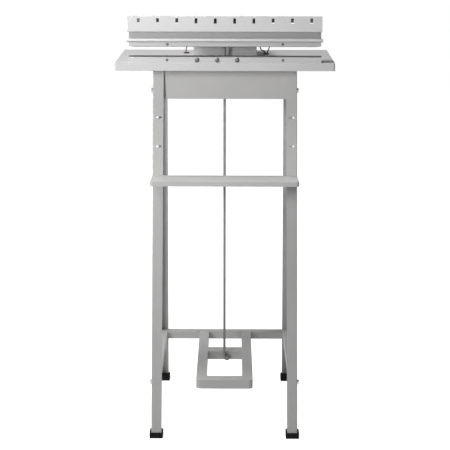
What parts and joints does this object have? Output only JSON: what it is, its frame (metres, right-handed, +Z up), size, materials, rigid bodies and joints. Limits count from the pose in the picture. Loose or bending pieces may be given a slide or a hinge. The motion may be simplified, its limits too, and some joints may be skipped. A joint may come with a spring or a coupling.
{
  "type": "foot pedal impulse heat sealer",
  "caption": "Floor-standing impulse heat sealer: a splayed leg stand with table and tilting sealing jaw, pulled shut by a foot pedal through a long rod.",
  "frame": {"origin": "on the floor, at the middle of the machine's width and depth", "axes": "+X along the jaws to the operator's right, +Y from the operator to the back, +Z up"},
  "size_m": [0.49, 0.4965, 0.9907],
  "materials": {
    "grey_paint": "satin powder coat",
    "aluminium_bar": "satin",
    "zinc_steel": "zinc plated",
    "black_plastic": "moulded",
    "foot_plastic": "moulded",
    "silicone": "matte",
    "release_fabric": "coated glass cloth",
    "ribbon_metal": "rolled",
    "brass": "machined",
    "core_steel": "laminated",
    "coil_copper": "wound",
    "board_green": "lacquered",
    "black_rubber": "matte",
    "red_lead": "matte",
    "brown_lead": "matte"
  },
  "bodies": {
    "stand": {"bag_shelf": "grey_paint", "box_bottom_cover": "zinc_steel", "cable_gland": "black_plastic", "control_box": "grey_paint", "dome_screws": "zinc_steel", "front_foot_left": "foot_plastic", "front_foot_right": "foot_plastic", "front_leg_left": "grey_paint", "front_leg_right": "grey_paint", "fuse_holder": "black_plastic", "hinge_pedestal": "grey_paint", "hinge_pin": "zinc_steel", "lead_black": "black_rubber", "lead_brown": "brown_lead", "lead_grommets": "black_rubber", "lead_red": "red_lead", "leg_bolts": "zinc_steel", "lower_jaw_bar": "aluminium_bar", "lower_strip_screws": "zinc_steel", "pedal_pivot_pin": "zinc_steel", "pedestal_screws": "zinc_steel", "rear_cross_bar": "grey_paint", "rear_foot_left": "foot_plastic", "rear_foot_right": "foot_plastic", "rear_leg_left": "grey_paint", "rear_leg_right": "grey_paint", "return_spring": "zinc_steel", "rod_bush": "black_plastic", "shelf_screws": "zinc_steel", "side_rail_left": "grey_paint", "side_rail_right": "grey_paint", "silicone_strip": "silicone", "stroke_switch": "black_plastic", "switch_housing": "black_plastic", "table_top": "grey_paint", "terminal_block": "black_plastic", "timer_board": "board_green", "timer_dial_spindle": "black_plastic", "transformer_coil": "coil_copper", "transformer_core": "core_steel"},
    "head": {"release_cloth": "release_fabric", "heating_ribbon": "ribbon_metal", "insulation_strip": "release_fabric", "upper_jaw_bar": "aluminium_bar", "jaw_edge_moulding": "aluminium_bar", "front_clamp_strip": "aluminium_bar", "rear_clamp_strip": "aluminium_bar", "clamp_screws": "zinc_steel", "ribbon_terminals": "brass", "head_cover": "grey_paint", "head_arm": "grey_paint", "hinge_bushes": "brass"},
    "pedal": {"pedal_frame": "grey_paint", "pedal_cross_member": "grey_paint", "pedal_eye_bolt": "zinc_steel"},
    "rod": {"pull_rod": "zinc_steel", "rod_nuts": "zinc_steel", "spring_collar": "zinc_steel"},
    "knob": {"timer_knob": "black_plastic"},
    "rocker": {"power_rocker": "black_plastic"}
  },
  "joints": [
    {"name": "head_tilt", "type": "hinge", "parent": "stand", "child": "head", "pos_m": [0, 0.035, 0.93], "axis": [1, 0, 0], "range_deg": [0, 5.77], "stiffness_Nm_per_rad": 40, "springref_deg": -17.19, "deforming": ["return_spring", "lead_red", "lead_black", "lead_brown"]},
    {"name": "pedal_tilt", "type": "hinge", "parent": "stand", "child": "pedal", "pos_m": [0, 0.2085, 0.131], "axis": [1, 0, 0], "range_deg": [0, 3.7]},
    {"name": "rod_swing", "type": "hinge", "parent": "pedal", "child": "rod", "pos_m": [0.0048, 0.033, 0.13], "axis": [1, 0, 0], "range_deg": [-3.55, 0]},
    {"name": "timer_turn", "type": "hinge", "parent": "stand", "child": "knob", "pos_m": [-0.02, 0.1014, 0.838], "axis": [0, 1, 0], "range_deg": [0, 270]},
    {"name": "rocker_tilt", "type": "hinge", "parent": "stand", "child": "rocker", "pos_m": [-0.095, 0.0984, 0.838], "axis": [0, 0, 1], "range_deg": [-16, 0]}
  ],
  "couplings": [
    {"joint": "pedal_tilt", "follows": "head_tilt", "ratio": 0.637},
    {"joint": "rod_swing", "follows": "head_tilt", "ratio": -0.605}
  ]
}
